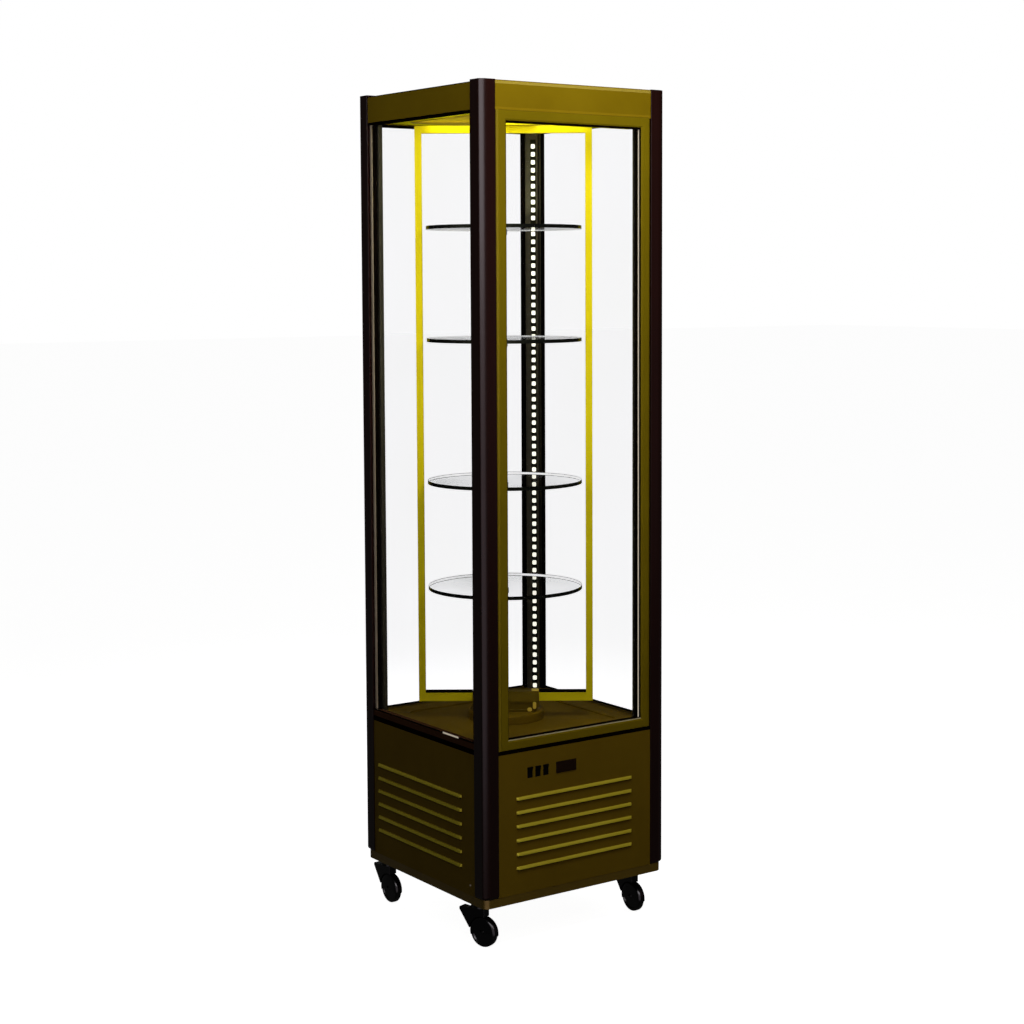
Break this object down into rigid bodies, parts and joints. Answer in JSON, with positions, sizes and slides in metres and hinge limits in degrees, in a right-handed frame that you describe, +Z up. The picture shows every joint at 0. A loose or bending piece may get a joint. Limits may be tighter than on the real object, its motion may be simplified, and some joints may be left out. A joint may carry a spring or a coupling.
{
  "type": "revolving glass display cabinet",
  "caption": "Floor-standing refrigerated display tower with fixed glass on its sides, a framed glass door and round glass shelves on a revolving gilt carrier frame.",
  "frame": {"origin": "on the floor under the middle of the cabinet", "axes": "+Z up, the door faces -Y, +X to the right seen from the front"},
  "size_m": [0.495, 0.5055, 1.85],
  "materials": {
    "bronze": "satin bronze-gold lacquer",
    "dark_bronze": "satin dark bronze",
    "post_brown": "glossy very dark brown lacquer",
    "gold": "satin gilt",
    "black": "matt black",
    "caster_black": "glossy black",
    "rubber": "matt black",
    "steel": "brushed",
    "fin_metal": "bare fins",
    "lamp": "lit yellow diffuser",
    "led": "lit white",
    "glass": "clear double glazing",
    "shelf_glass": "clear toughened glass"
  },
  "bodies": {
    "root": {"base_tray": "bronze", "roof_cap": "bronze", "front_fascia": "bronze", "machine_panel_front": "bronze", "machine_panel_rear": "bronze", "machine_panel_left": "bronze", "machine_panel_right": "bronze", "deck": "dark_bronze", "drive_pedestal": "dark_bronze", "corner_post_front_left": "post_brown", "corner_post_front_right": "post_brown", "corner_post_rear_left": "post_brown", "corner_post_rear_right": "post_brown", "sill_left": "post_brown", "sill_right": "post_brown", "sill_rear": "post_brown", "ceiling_panel": "gold", "corner_profile_front_left": "black", "corner_profile_front_right": "black", "corner_profile_rear_left": "black", "corner_profile_rear_right": "black", "switch_housing": "black", "temperature_controller": "black", "compressor": "black", "fan_motor": "black", "hinge_bottom": "steel", "hinge_top": "steel", "top_bearing": "steel", "gear_motor": "steel", "condenser": "fin_metal", "evaporator": "fin_metal", "ceiling_lamp": "lamp", "led_strip_front_left": "led", "led_strip_rear_right": "led", "glass_left": "glass", "glass_right": "glass", "glass_rear": "glass"},
    "door": {"door_frame": "bronze", "door_glass": "glass", "door_gasket": "rubber"},
    "carousel": {"carousel_shaft": "steel", "carousel_hub_lower": "gold", "carousel_hub_upper": "gold", "carrier_frame": "gold", "shelf_1": "shelf_glass", "shelf_2": "shelf_glass", "shelf_3": "shelf_glass", "shelf_4": "shelf_glass"},
    "rocker_1": {"switch_rocker_1": "black"},
    "rocker_2": {"switch_rocker_2": "black"},
    "rocker_3": {"switch_rocker_3": "black"},
    "fan": {"condenser_fan": "black"},
    "caster_front_left": {"caster_fork_front_left": "caster_black"},
    "wheel_front_left": {"caster_wheel_front_left": "rubber"},
    "caster_front_right": {"caster_fork_front_right": "caster_black"},
    "wheel_front_right": {"caster_wheel_front_right": "rubber"},
    "caster_rear_left": {"caster_fork_rear_left": "caster_black"},
    "wheel_rear_left": {"caster_wheel_rear_left": "rubber"},
    "caster_rear_right": {"caster_fork_rear_right": "caster_black"},
    "wheel_rear_right": {"caster_wheel_rear_right": "rubber"}
  },
  "joints": [
    {"name": "door_swing", "type": "hinge", "parent": "root", "child": "door", "pos_m": [0.199, -0.238, 1.1136], "axis": [0, 0, 1], "range_deg": [0, 95]},
    {"name": "carousel_turn", "type": "hinge", "parent": "root", "child": "carousel", "pos_m": [-0.0115, 0.008, 1.1], "axis": [0, 0, 1], "continuous": true},
    {"name": "rocker_1_press", "type": "hinge", "parent": "root", "child": "rocker_1", "pos_m": [-0.124, -0.2372, 0.3835], "axis": [1, 0, 0], "range_deg": [-13.75, 0]},
    {"name": "rocker_2_press", "type": "hinge", "parent": "root", "child": "rocker_2", "pos_m": [-0.103, -0.2372, 0.3835], "axis": [1, 0, 0], "range_deg": [-13.75, 0]},
    {"name": "rocker_3_press", "type": "hinge", "parent": "root", "child": "rocker_3", "pos_m": [-0.082, -0.2372, 0.3835], "axis": [1, 0, 0], "range_deg": [-13.75, 0]},
    {"name": "fan_spin", "type": "hinge", "parent": "root", "child": "fan", "pos_m": [0.077, 0, 0.2084], "axis": [1, 0, 0], "continuous": true},
    {"name": "swivel_front_left", "type": "hinge", "parent": "root", "child": "caster_front_left", "pos_m": [-0.207, -0.171, 0.1], "axis": [0, 0, 1], "continuous": true},
    {"name": "roll_front_left", "type": "hinge", "parent": "caster_front_left", "child": "wheel_front_left", "pos_m": [-0.20342, -0.1814, 0.0325], "axis": [0.9455, 0.3256, 0], "continuous": true},
    {"name": "swivel_front_right", "type": "hinge", "parent": "root", "child": "caster_front_right", "pos_m": [0.207, -0.171, 0.1], "axis": [0, 0, 1], "continuous": true},
    {"name": "roll_front_right", "type": "hinge", "parent": "caster_front_right", "child": "wheel_front_right", "pos_m": [0.207, -0.182, 0.0325], "axis": [1, 0, 0], "continuous": true},
    {"name": "swivel_rear_left", "type": "hinge", "parent": "root", "child": "caster_rear_left", "pos_m": [-0.207, 0.207, 0.1], "axis": [0, 0, 1], "continuous": true},
    {"name": "roll_rear_left", "type": "hinge", "parent": "caster_rear_left", "child": "wheel_rear_left", "pos_m": [-0.20681, 0.196, 0.0325], "axis": [0.9998, 0.0175, 0], "continuous": true},
    {"name": "swivel_rear_right", "type": "hinge", "parent": "root", "child": "caster_rear_right", "pos_m": [0.207, 0.207, 0.1], "axis": [0, 0, 1], "continuous": true},
    {"name": "roll_rear_right", "type": "hinge", "parent": "caster_rear_right", "child": "wheel_rear_right", "pos_m": [0.20891, 0.19617, 0.0325], "axis": [0.9848, 0.1736, 0], "continuous": true}
  ]
}
